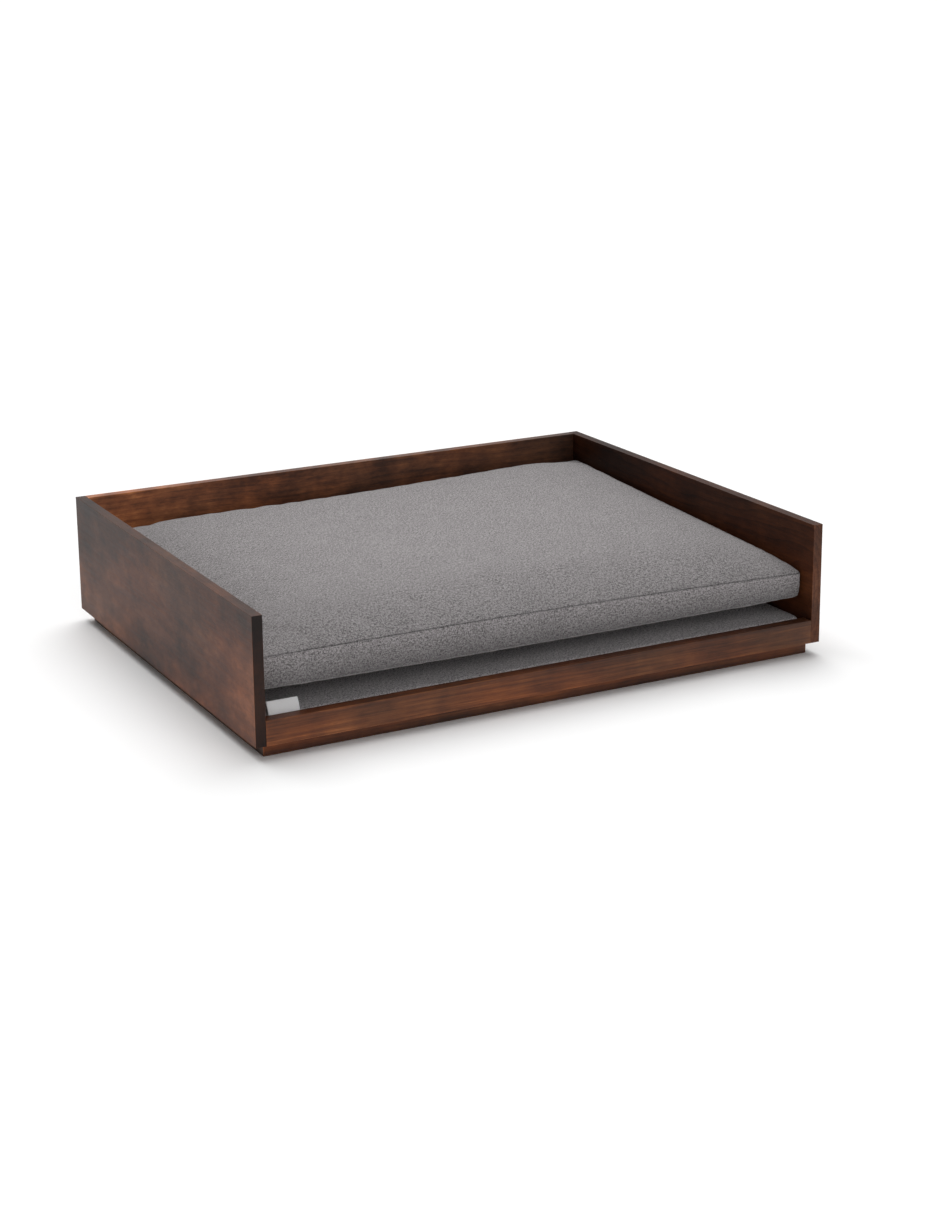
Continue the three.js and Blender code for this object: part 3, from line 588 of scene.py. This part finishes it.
def top_seam(x, y):
    u, v = shares(x, y)
    at_front = lerp(TOP_SEAM["front_left"], TOP_SEAM["front_right"], u**TOP_SEAM_LEAN)
    at_back = lerp(TOP_SEAM["back_left"], TOP_SEAM["back_right"], u)
    return lerp(at_front, at_back, v**TOP_SEAM_RISE)


def bottom_seam(x, y):
    u, v = shares(x, y)
    at_front = lerp(BOTTOM_SEAM["front_left"], BOTTOM_SEAM["front_right"], u)
    at_back = lerp(BOTTOM_SEAM["back_left"], BOTTOM_SEAM["back_right"], u)
    return lerp(at_front, at_back, v) - BOTTOM_SEAM_SAG * (1 - ((2 * u - 1) * (2 * v - 1)) ** 2)


def cushion_top(x, y):
    return top_seam(x, y) + TOP_CROWN * dome(x, y, TOP_SQUARENESS)


def cushion_underside(x, y):
    return np.maximum(bottom_seam(x, y) - BOTTOM_CROWN * dome(x, y, BOTTOM_SQUARENESS), CUSHION_REST)


def grid_lines(half, step, rim=0.0):
    """Evenly spaced grid lines from -half to half, with one more at `rim` from each end."""
    inner = half - rim
    lines = np.linspace(-inner, inner, 2 * round(inner / step) + 1)
    return np.array([-half, *lines, half]) if rim else lines


def rounded_place(p, q, half_x, half_y, radius):
    """Where a point of a square-cornered grid lies once the outline's corners are rounded."""
    a = (np.abs(p) - (half_x - radius)) / radius
    b = (np.abs(q) - (half_y - radius)) / radius
    in_corner = (a > 0) & (b > 0)
    round_a = np.where(in_corner, a * np.sqrt(1 - np.clip(b, 0, 1) ** 2 / 2), a)
    round_b = np.where(in_corner, b * np.sqrt(1 - np.clip(a, 0, 1) ** 2 / 2), b)
    x = np.sign(p) * (half_x - radius + round_a * radius)
    y = np.sign(q) * (half_y - radius + round_b * radius)
    return x, y


def grid_rim(columns, rows):
    """A grid's outermost points, in order round it from its front left corner."""
    front = [i for i in range(columns - 1)]
    right = [j * columns + columns - 1 for j in range(rows - 1)]
    back = [(rows - 1) * columns + i for i in range(columns - 1, 0, -1)]
    left = [j * columns for j in range(rows - 1, 0, -1)]
    return np.array(front + right + back + left)


def closed_faces(columns, rows, ring_count):
    """The faces of a closed form: a top grid, a bottom grid, and rings of points from the bottom's rim up to
    the top's. The vertices come in that order."""
    count = columns * rows
    rim = grid_rim(columns, rows)
    length = len(rim)
    faces = []
    for j in range(rows - 1):
        for i in range(columns - 1):
            a = j * columns + i
            quad = (a, a + 1, a + columns + 1, a + columns)
            faces.append(quad)
            faces.append(tuple(count + k for k in reversed(quad)))
    rings = [rim + count] + [2 * count + k * length + np.arange(length) for k in range(ring_count)] + [rim]
    for low, high in zip(rings, rings[1:]):
        for i in range(length):
            k = (i + 1) % length
            faces.append((int(low[i]), int(low[k]), int(high[k]), int(high[i])))
    return faces


def pulled_in(x, y, tuck):
    """A point of the cushion drawn in between the corners, and by `tuck` all round."""
    u, v = x / HALF_WIDTH, (y - MIDDLE_Y) / HALF_DEPTH
    pull_x = SIDE_PULL_X * (1 - v**2) + tuck
    pull_y = SIDE_PULL_Y * (1 - u**2) + tuck
    return x - u * pull_x, y - v * pull_y


def outward_direction(places):
    """The direction in plan, away from the middle, in which a point of the cushion's outline faces."""
    beyond_x = np.abs(places[:, 0]) - HALF_WIDTH + CORNER_RADIUS
    beyond_y = np.abs(places[:, 1] - MIDDLE_Y) - HALF_DEPTH + CORNER_RADIUS
    outward = np.column_stack([
        np.maximum(beyond_x, 0) * np.sign(places[:, 0]),
        np.maximum(beyond_y, 0) * np.sign(places[:, 1] - MIDDLE_Y),
    ])
    return outward / np.maximum(np.linalg.norm(outward, axis=1, keepdims=True), 1e-9)


BOXING_ROWS = (0.045, 0.12, 0.22, 0.34, 0.47, 0.61, 0.77, 0.95)
CORNER_REACH = 0.060
ZIP_SINK = 0.0016
ZIP_FADE = 0.06


def beside_zip(x):
    """1 along the zip, fading to 0 beyond its ends."""
    return smoothstep((ZIP_HIGH.x + ZIP_FADE - np.abs(x)) / ZIP_FADE)


class BoxCushion:
    """The cushion's cover as one closed grid of quads: a top, a bottom and the boxing between two seams."""

    def __init__(self):
        lines_x = grid_lines(HALF_WIDTH, CLOTH_STEP, SEAM_WIDTH)
        lines_y = grid_lines(HALF_DEPTH, CLOTH_STEP, SEAM_WIDTH)
        p, q = (part.ravel() for part in np.meshgrid(lines_x, lines_y))
        x, y = rounded_place(p, q, HALF_WIDTH, HALF_DEPTH, CORNER_RADIUS)
        y = y + MIDDLE_Y
        top = np.column_stack([*pulled_in(x, y, 0.0), cushion_top(x, y)])
        bottom = np.column_stack([*pulled_in(x, y, BOTTOM_TUCK), cushion_underside(x, y)])
        rim = grid_rim(len(lines_x), len(lines_y))
        rings = [self.boxing_ring(top[rim], bottom[rim], share) for share in BOXING_ROWS]
        self.vertices = np.vstack([top, bottom, *rings])
        self.faces = closed_faces(len(lines_x), len(lines_y), len(rings))
        self.count = len(x)
        self.top_seam = rim
        self.bottom_seam = rim + len(x)

    def from_corner(self, places):
        """0 at the cushion's four upright corners, rising to 1 further than CORNER_REACH from them."""
        beside = HALF_WIDTH - np.abs(places[:, 0])
        before = HALF_DEPTH - np.abs(places[:, 1] - MIDDLE_Y)
        return smoothstep(np.hypot(beside, before) / CORNER_REACH)

    def boxing_ring(self, top, bottom, share):
        """One ring of the boxing, bulging a little outwards halfway up except along the zip."""
        outward = outward_direction(top)
        at_zip = (outward[:, 1] > 0.9) * beside_zip(top[:, 0])
        bulge = lerp(BOXING_BULGE * self.from_corner(top), -ZIP_SINK, at_zip)
        reach = bulge * math.sin(math.pi * share**0.75) - BOTTOM_TUCK * (1 - share) ** 5
        place = top.copy()
        place[:, 2] = lerp(bottom[:, 2], top[:, 2], share)
        place[:, :2] += outward * reach[:, None]
        return place


CLOTH_FRAMES = 20
CLOTH_PRESSURE = 4.0
CLOTH_SLACK = -0.008
BOARD_GAP = 0.002
ZIP_TAPE_GAP = 0.0002
TOP_CAP = 0.004
BOXING_CAP = 0.0015


def inflate(piece, held):
    """Lets the cover billow by cloth simulation, with its seams held, and gives the points it reaches."""
    group = piece.vertex_groups.new(name="held")
    group.add([int(i) for i in held], 1.0, "REPLACE")
    cloth = piece.modifiers.new("billow", "CLOTH")
    settings = cloth.settings
    settings.quality = 6
    settings.mass = 0.25
    settings.tension_stiffness = 15
    settings.compression_stiffness = 15
    settings.shear_stiffness = 8
    settings.bending_stiffness = 1.5
    settings.use_pressure = True
    settings.uniform_pressure_force = CLOTH_PRESSURE
    settings.shrink_min = CLOTH_SLACK
    settings.vertex_group_mass = "held"
    settings.effector_weights.gravity = 0
    cloth.point_cache.frame_start = 1
    cloth.point_cache.frame_end = CLOTH_FRAMES
    scene = bpy.context.scene
    for number in range(1, CLOTH_FRAMES + 1):
        scene.frame_set(number)
    evaluated = piece.evaluated_get(bpy.context.evaluated_depsgraph_get())
    reached = np.array([v.co for v in evaluated.data.vertices])
    piece.modifiers.remove(cloth)
    piece.vertex_groups.remove(group)
    scene.frame_set(1)
    return reached


def cap_movement(start, reached, most):
    """Points moved towards where the simulation left them, none of them as far as its own `most`."""
    moved = reached - start
    length = np.linalg.norm(moved, axis=1, keepdims=True)
    return start + moved * most * np.tanh(length / most) / np.maximum(length, 1e-9)


def keep_clear(places):
    """Keeps the cover above the panel, off the side boards, and flat behind the zip."""
    places[:, 2] = np.maximum(places[:, 2], CUSHION_REST)
    limit = TRAY_RIGHT - BOARD_GAP
    places[:, 0] = np.clip(places[:, 0], -limit, limit)
    behind = lerp(TRAY_BACK - BOARD_GAP, ZIP_LOW.y - ZIP_TAPE_GAP, beside_zip(places[:, 0]))
    places[:, 1] = np.minimum(places[:, 1], behind)


# How far in the painted shade round the rim of the cushion's top reaches: the higher, the narrower its band.
RIM_PAINTED_SHADE_SQUARENESS = 3.0
SEAM_DEPTH = 0.0009
PUCKER = 0.0003
PUCKER_SPACING = 0.021


def sink_seams(cover, places):
    """Pulls the two seams in towards the filling, a little unevenly, as a sewn edge is."""
    for loop, rise in ((cover.top_seam, -0.5), (cover.bottom_seam, 0.5)):
        along = cover.vertices[loop, 0] + cover.vertices[loop, 1]
        depth = SEAM_DEPTH + PUCKER * np.sin(2 * math.pi * along / PUCKER_SPACING + 3 * np.sin(11 * along))
        places[loop, :2] -= outward_direction(cover.vertices[loop]) * depth[:, None]
        places[loop, 2] += rise * depth


def mark(piece, name, points, value=1.0):
    """Gives some of a piece's points a number, or one each, for its material to read. The others keep 0."""
    values = np.zeros(len(piece.data.vertices), np.float32)
    values[points] = value
    attribute = piece.data.attributes.new(name, "FLOAT", "POINT")
    attribute.data.foreach_set("value", values)


def subdivide(piece):
    smooth = piece.modifiers.new("smooth", "SUBSURF")
    smooth.levels = 1
    smooth.render_levels = 1


def make_cushion(linen):
    cover = BoxCushion()
    piece = mesh_piece("cushion_cover", cover.vertices, cover.faces, linen)
    places = cover.vertices.copy()
    held = np.concatenate([cover.top_seam, cover.bottom_seam])
    most = np.full((len(places), 1), TOP_CAP)
    most[2 * cover.count:] = BOXING_CAP
    most *= 0.1 + 0.9 * cover.from_corner(places)[:, None]
    places = cap_movement(places, inflate(piece, held), most)
    keep_clear(places)
    sink_seams(cover, places)
    piece.data.vertices.foreach_set("co", places.ravel())
    # These marks tell the cloth where to paint shade: in the top seam, round the rim of the top, and down
    # the boxing.
    mark(piece, "seam", cover.top_seam)
    top = np.arange(cover.count)
    mark(piece, "rim", top, 1 - dome(places[top, 0], places[top, 1], RIM_PAINTED_SHADE_SQUARENESS))
    below_seam = np.repeat(1 - np.array(BOXING_ROWS), len(cover.top_seam))
    mark(piece, "boxing", np.arange(2 * cover.count, len(places)), below_seam)
    subdivide(piece)
    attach(piece, "cushion")
    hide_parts("cushion_top_cover", "cushion_bottom_cover", "cushion_filling", "boxing_front",
                "boxing_right", "boxing_left", "boxing_back_upper", "boxing_back_lower")
    return piece


# ---- The upholstered base panel ----

PANEL_CORNER = 0.010
PANEL_EDGE = 0.0055
PANEL_UNDER_EDGE = 0.003
PANEL_HEM = 0.040
PANEL_CLOTH = 0.0012
PANEL_STEP = 0.011
PANEL_BOARD_SHOWS = 0.004
PANEL_RIPPLE = 0.0004


def panel_rings():
    """The panel's profile from its underside to its top, as distances in from its side and heights."""
    low, top = PANEL_LOW.z, PANEL_HIGH.z
    rings = [
        (PANEL_HEM, low + PANEL_BOARD_SHOWS),
        (PANEL_HEM, low + PANEL_CLOTH),
        (PANEL_HEM - PANEL_CLOTH / 3, low + PANEL_CLOTH / 3),
        (PANEL_HEM - PANEL_CLOTH, low),
        (PANEL_HEM * 0.6, low),
        (PANEL_HEM * 0.3, low),
    ]
    bends = 4
    for i in range(bends + 1):
        angle = math.pi / 2 * i / bends
        inset = PANEL_UNDER_EDGE * (1 - math.sin(angle))
        rings.append((inset, low + PANEL_UNDER_EDGE * (1 - math.cos(angle))))
    rings.append((0.0, (low + top) / 2))
    for i in range(bends + 1):
        angle = math.pi / 2 * i / bends
        inset = PANEL_EDGE * (1 - math.cos(angle))
        rings.append((inset, top - PANEL_EDGE * (1 - math.sin(angle))))
    return rings


def panel_ripple(x, y):
    """Shallow unevenness of the foam under the taut cloth, always downwards."""
    wave = np.sin(23 * x + 5 * np.sin(9 * y)) * np.sin(19 * y + 4 * np.sin(7 * x))
    return -PANEL_RIPPLE * (1 + wave)


def make_panel(linen):
    """The panel's cover: taut over the top, round its edges, and turned under as a hem that shows the
    board."""
    half = (PANEL_HIGH - PANEL_LOW) / 2
    middle = (PANEL_HIGH + PANEL_LOW) / 2
    p, q = np.meshgrid(grid_lines(1.0, PANEL_STEP / half.x), grid_lines(1.0, PANEL_STEP / half.y))
    columns, rows = p.shape[1], p.shape[0]
    p, q = p.ravel(), q.ravel()
    rim = grid_rim(columns, rows)

    def level(p, q, inset, height):
        half_x, half_y = half.x - inset, half.y - inset
        radius = max(PANEL_CORNER - inset, PANEL_CLOTH)
        x, y = rounded_place(p * half_x, q * half_y, half_x, half_y, radius)
        return np.column_stack([x + middle.x, y + middle.y, np.full(len(x), height)])

    profile = panel_rings()
    top, bottom = level(p, q, *profile[-1]), level(p, q, *profile[0])
    top[:, 2] += panel_ripple(top[:, 0], top[:, 1])
    rings = [level(p[rim], q[rim], *place) for place in profile[1:-1]]
    vertices = np.vstack([top, bottom, *rings])
    piece = mesh_piece("panel_linen_cover", vertices, closed_faces(columns, rows, len(rings)), linen)
    subdivide(piece)
    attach(piece, "base_panel")
    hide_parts("panel_cover", "panel_foam")


# ---- Ribbons: the tag and the zip ----


def ribbon(name, path, thickness, stations, material):
    """A ribbon of one thickness. Its path is a list of (y, z), and stations gives, for each of its steps
    along X, the place in X and how far the whole path is moved there in Y and Z."""
    path = np.array(path)
    along = np.gradient(path, axis=0)
    normal = np.column_stack([-along[:, 1], along[:, 0]])
    normal /= np.linalg.norm(normal, axis=1, keepdims=True)
    loop = np.vstack([path + normal * thickness / 2, (path - normal * thickness / 2)[::-1]])
    vertices = [(x, y + dy, z + dz) for x, dy, dz in stations for y, z in loop]
    size, last = len(loop), (len(stations) - 1) * len(loop)
    faces = []
    for i in range(len(stations) - 1):
        for j in range(size):
            k = (j + 1) % size
            faces.append((i * size + j, i * size + k, (i + 1) * size + k, (i + 1) * size + j))
    for j in range(len(path) - 1):
        opposite = size - 1 - j
        faces.append((j + 1, j, opposite, opposite - 1))
        faces.append((last + j, last + j + 1, last + opposite - 1, last + opposite))
    return mesh_piece(name, vertices, faces, material)


TAG_LAYER = 0.00042
TAG_FOLD_RADIUS = 0.0005
TAG_ROOT = 0.008
TAG_BOW = 0.0006
TAG_STEPS = 24
TAG_BELLY = 0.0012


def tag_path():
    """The folded tag's middle line: up its back from the root, over the fold at its top, and down again."""
    root = Vector((TAG_LOW.y + TAG_FOLD_RADIUS, TAG_LOW.z))
    bend = root + Vector((0.0, TAG_ROOT))
    tip = Vector((TAG_HIGH.y - TAG_LAYER, TAG_HIGH.z - 2 * TAG_FOLD_RADIUS))
    spine = []
    root_steps, face_steps, turn_steps = 5, 12, 6
    for i in range(root_steps):
        spine.append(root.lerp(bend, i / root_steps))
    for i in range(face_steps + 1):
        share = i / face_steps
        straight = bend.lerp(tip, share)
        spine.append(straight + Vector((-TAG_BELLY * math.sin(math.pi * share), 0.0)))
    spine = np.array([tuple(point) for point in spine])
    along = np.gradient(spine, axis=0)
    along /= np.linalg.norm(along, axis=1, keepdims=True)
    backwards = np.column_stack([along[:, 1], -along[:, 0]])
    rear, front = spine + backwards * TAG_FOLD_RADIUS, spine - backwards * TAG_FOLD_RADIUS
    turn = []
    for i in range(1, turn_steps):
        angle = math.pi * i / turn_steps
        outwards = backwards[-1] * math.cos(angle) + along[-1] * math.sin(angle)
        turn.append(spine[-1] + TAG_FOLD_RADIUS * outwards)
    return np.vstack([rear, turn, front[::-1]])


def make_tag(tape):
    """A blank folded tag, slightly bowed along its length."""
    stations = []
    for i in range(TAG_STEPS + 1):
        share = i / TAG_STEPS
        bow = TAG_BOW * math.sin(math.pi * share) + 0.3 * TAG_BOW * math.sin(3 * math.pi * share)
        stations.append((lerp(TAG_LOW.x, TAG_HIGH.x, share), bow, -0.3 * bow))
    piece = ribbon("folded_tag", tag_path(), TAG_LAYER, stations, tape)
    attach(piece, "base_panel")
    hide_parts("blank_tag")


ZIP_MIDDLE = (ZIP_LOW.z + ZIP_HIGH.z) / 2
ZIP_TAPE_WIDTH = 0.016
ZIP_TAPE_THICKNESS = 0.0010
TOOTH_SPACING = 0.0016
TOOTH_REACH = 0.0024
TOOTH_OVERLAP = 0.0006
TOOTH_RADIUS = 0.00048
FACING_GAP = 0.0046
FACING_WIDTH = 0.0070
FACING_DEPTH = 0.0016
STITCH_SPACING = 0.0042
STITCH_LENGTH = 0.0030
STITCH_RADIUS = 0.00028
FACING_THICKNESS = 0.0009
FACING_PAST_END = 0.012
FACING_TURN_IN = 0.002
FACING_WAVE = 0.0002


def rounded_bar(start, end, radius, sides=6):
    """The points and faces of a short bar with tapered ends, from start to end."""
    start, end = Vector(start), Vector(end)
    along = (end - start).normalized()
    across = along.orthogonal().normalized()
    other = along.cross(across)
    profile = [(0.0, 0.45), (0.18, 1.0), (0.82, 1.0), (1.0, 0.45)]
    points, faces = [], []
    for share, width in profile:
        for i in range(sides):
            angle = 2 * math.pi * i / sides
            offset = across * math.cos(angle) + other * math.sin(angle)
            points.append(start.lerp(end, share) + offset * radius * width)
    for ring in range(len(profile) - 1):
        for i in range(sides):
            k = (i + 1) % sides
            a, b = ring * sides, (ring + 1) * sides
            faces.append((a + i, a + k, b + k, b + i))
    faces.append(tuple(reversed(range(sides))))
    faces.append(tuple(range(len(points) - sides, len(points))))
    return points, faces


def bars_piece(name, bars, radius, material):
    """One piece made of many short bars."""
    vertices, faces = [], []
    for start, end in bars:
        points, sides = rounded_bar(start, end, radius)
        faces += [tuple(len(vertices) + k for k in face) for face in sides]
        vertices += points
    return mesh_piece(name, vertices, faces, material)


def zip_teeth(material):
    """The closed chain: teeth from above and below that meet in the middle."""
    y = ZIP_HIGH.y - TOOTH_RADIUS
    half = ZIP_HIGH.x - TOOTH_SPACING
    bars = []
    for i in range(round(2 * half / TOOTH_SPACING)):
        x = i * TOOTH_SPACING - half
        side = 1 if i % 2 else -1
        bars.append(((x, y, ZIP_MIDDLE + side * TOOTH_REACH), (x, y, ZIP_MIDDLE - side * TOOTH_OVERLAP)))
    return bars_piece("zip_teeth", bars, TOOTH_RADIUS, material)


def zip_facing(side, linen):
    """The folded edge of the boxing that is sewn along one side of the zip."""
    near, far = side * FACING_GAP, side * (FACING_GAP + FACING_WIDTH)
    profile = [(0.0, 0.0), (1.0, 0.12), (1.0, 0.5), (0.5, 0.85), (-1.0, 1.0)]
    path = []
    for proud, share in profile:
        path.append((ZIP_LOW.y + FACING_DEPTH * proud, ZIP_MIDDLE + lerp(near, far, share)))
    reach = ZIP_HIGH.x + FACING_PAST_END
    steps = 120
    stations = []
    for i in range(steps + 1):
        x = lerp(-reach, reach, i / steps)
        inwards = -FACING_TURN_IN * smoothstep((abs(x) - ZIP_HIGH.x) / FACING_PAST_END)
        stations.append((x, inwards, FACING_WAVE * math.sin(x * 90)))
    name = "zip_facing_upper" if side > 0 else "zip_facing_lower"
    return ribbon(name, path, FACING_THICKNESS, stations, linen)


def zip_stitches(material):
    """A row of stitches along each facing."""
    bars = []
    count = round(2 * ZIP_HIGH.x / STITCH_SPACING)
    for side in (-1, 1):
        z = ZIP_MIDDLE + side * (FACING_GAP + 0.4 * FACING_WIDTH)
        y = ZIP_LOW.y + FACING_DEPTH + FACING_THICKNESS / 2
        for i in range(count):
            x = i * STITCH_SPACING - ZIP_HIGH.x
            bars.append(((x, y, z), (x + STITCH_LENGTH, y, z)))
    return bars_piece("zip_stitches", bars, STITCH_RADIUS, material)


def make_zip(linen, tape_cloth):
    coil = nylon()
    steps = 60
    stations = [(lerp(ZIP_LOW.x, ZIP_HIGH.x, i / steps), 0.0, 0.0) for i in range(steps + 1)]
    y = ZIP_LOW.y + ZIP_TAPE_THICKNESS / 2
    path = [(y, ZIP_MIDDLE + ZIP_TAPE_WIDTH * (i / 6 - 0.5)) for i in range(7)]
    tape = ribbon("zip_ribbon", path, ZIP_TAPE_THICKNESS, stations, tape_cloth)
    trims = [zip_teeth(coil), zip_facing(1, linen), zip_facing(-1, linen), zip_stitches(tape_cloth)]
    for piece in (tape, *trims):
        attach(piece, "cushion")
    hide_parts("zip_tape")


# ---- Floor, light and camera ----


def make_floor():
    """A plain pale floor, wide enough to meet the background."""
    reach = 30.0
    shading = Shading("studio_floor")
    grain = shading.noise(shading.place(), (300.0, 300.0, 300.0), 3.0)
    colour = shading.ramp(grain, [(0.0, (0.905, 0.905, 0.905)), (1.0, (0.915, 0.915, 0.915))])
    material = shading.finish(colour, shading.rescale(grain, 0.0, 1.0, 0.85, 0.95), grain, 0.00002)
    corners = [(-reach, -reach, 0), (reach, -reach, 0), (reach, reach, 0), (-reach, reach, 0)]
    floor = mesh_piece("floor", corners, [(0, 1, 2, 3)], material, smooth=False)
    floor.location.z = -0.0005


def add_sun(name, towards_light, spread, strength):
    """A wide, even light from one direction, as from a large soft box."""
    light = bpy.data.lights.new(name, "SUN")
    light.energy = strength
    light.angle = math.radians(spread)
    lamp = bpy.data.objects.new(name, light)
    lamp.rotation_euler = Vector(towards_light).to_track_quat("Z", "Y").to_euler()
    bpy.context.scene.collection.objects.link(lamp)


# The world is brightest at the horizon, and dims with the sine of the height above it.
HORIZON_TO_SKY = {"From Min": 0.04, "From Max": 0.30, "To Min": 0.70, "To Max": 0.24}


def light_studio():
    """A white room with one large soft box overhead."""
    world = bpy.data.worlds.new("studio")
    world.use_nodes = True
    background = world.node_tree.nodes["Background"]
    background.inputs["Color"].default_value = (1.0, 1.0, 1.0, 1.0)
    height = world.node_tree.nodes.new("ShaderNodeSeparateXYZ")
    direction = world.node_tree.nodes.new("ShaderNodeTexCoord")
    brightness = world.node_tree.nodes.new("ShaderNodeMapRange")
    world.node_tree.links.new(direction.outputs["Generated"], height.inputs[0])
    world.node_tree.links.new(height.outputs["Z"], brightness.inputs["Value"])
    world.node_tree.links.new(brightness.outputs[0], background.inputs["Strength"])
    for key, value in HORIZON_TO_SKY.items():
        brightness.inputs[key].default_value = value
    bpy.context.scene.world = world
    add_sun("overhead", (0.12, 0.50, 1.0), 65.0, 3.0)
    add_sun("front_fill", (0.1, -1.0, 0.45), 50.0, 0.74)
    bpy.context.scene.view_settings.view_transform = "Standard"


def place_camera():
    data = bpy.data.cameras.new("camera")
    data.lens = LENS_MM
    data.shift_x, data.shift_y = SHIFT
    camera = bpy.data.objects.new("camera", data)
    azimuth, elevation, roll = CAMERA_AZIMUTH, CAMERA_ELEVATION, CAMERA_ROLL
    back = Vector((
        math.sin(azimuth) * math.cos(elevation),
        -math.cos(azimuth) * math.cos(elevation),
        math.sin(elevation),
    ))
    level = Vector((math.cos(azimuth), math.sin(azimuth), 0.0))
    upright = back.cross(level)
    right = level * math.cos(roll) + upright * math.sin(roll)
    up = upright * math.cos(roll) - level * math.sin(roll)
    turn = Matrix((right, up, back)).transposed().to_4x4()
    camera.matrix_world = Matrix.Translation(CAMERA_AT) @ turn
    bpy.context.scene.collection.objects.link(camera)
    bpy.context.scene.camera = camera


place_camera()
light_studio()
make_floor()
dress_frame()
make_cushion(grey_linen(with_painted_shade=True))
# The panel's linen is a lighter copy, with painted light.
make_panel(grey_linen("panel_linen", PANEL_PAINTED_LIGHT))
make_tag(white_ribbon())
# The facing's linen is a darker copy, with painted shade.
make_zip(grey_linen("facing_linen", FACING_PAINTED_SHADE), zip_ribbon())
